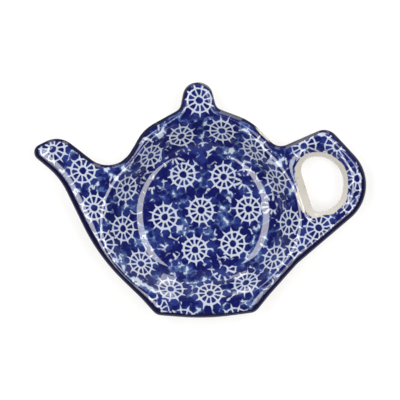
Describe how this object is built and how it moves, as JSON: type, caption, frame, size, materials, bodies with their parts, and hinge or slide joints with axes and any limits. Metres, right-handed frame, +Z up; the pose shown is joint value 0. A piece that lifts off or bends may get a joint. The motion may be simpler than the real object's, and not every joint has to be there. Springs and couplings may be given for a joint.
{
  "type": "tea bag rest",
  "caption": "Shallow stoneware dish in the outline of a teapot, with a hollow well, spout, lid knob and open loop handle, glazed and stamped, that holds a used tea bag.",
  "frame": {"origin": "middle of the outline's box, on the table under the foot ring", "axes": "+X from the spout to the handle, +Y from the base of the pot to its lid knob, +Z up out of the well"},
  "size_m": [0.1298, 0.0924, 0.0159],
  "materials": {
    "stoneware_body": "matt biscuit stoneware, bare on the foot ring",
    "face_glaze": "glossy glaze over stamped cobalt rosettes",
    "rim_band": "glossy glaze over a brushed cobalt line",
    "window_glaze": "glossy clear glaze over cream stoneware",
    "back_glaze": "glossy clear glaze over cream stoneware",
    "foot_recess_glaze": "glossy clear glaze over cream stoneware"
  },
  "bodies": {
    "root": {"stoneware_body": "stoneware_body", "face_glaze": "face_glaze", "rim_band": "rim_band", "window_glaze": "window_glaze", "back_glaze": "back_glaze", "foot_recess_glaze": "foot_recess_glaze"}
  },
  "joints": []
}
